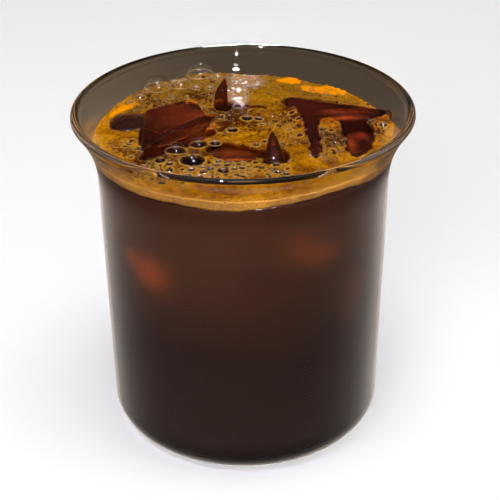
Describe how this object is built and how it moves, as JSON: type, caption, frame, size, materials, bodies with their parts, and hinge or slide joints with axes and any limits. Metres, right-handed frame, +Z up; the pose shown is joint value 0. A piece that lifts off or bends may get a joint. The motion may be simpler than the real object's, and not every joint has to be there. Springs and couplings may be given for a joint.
{
  "type": "glass of iced americano",
  "caption": "Flared-rim glass of iced black coffee with golden crema, big bubbles and half-sunk pieces of ice.",
  "frame": {"origin": "centre of the glass's flat underside, on the surface that it stands on", "axes": "+Z up along the glass's axis; -Y is the front, where the picture looks from; +X is to its right"},
  "size_m": [0.092, 0.092, 0.0947],
  "materials": {
    "glass": "clear, polished",
    "coffee": "dark brown liquid, wet surface",
    "crema": "golden foam, fine bubbles",
    "ice": "clear wet ice"
  },
  "bodies": {
    "root": {"glass": "glass", "coffee": "coffee", "crema": "crema", "ice_left": "ice", "ice_right": "ice", "ice_tip_front": "ice", "ice_tip_back": "ice"}
  },
  "joints": []
}
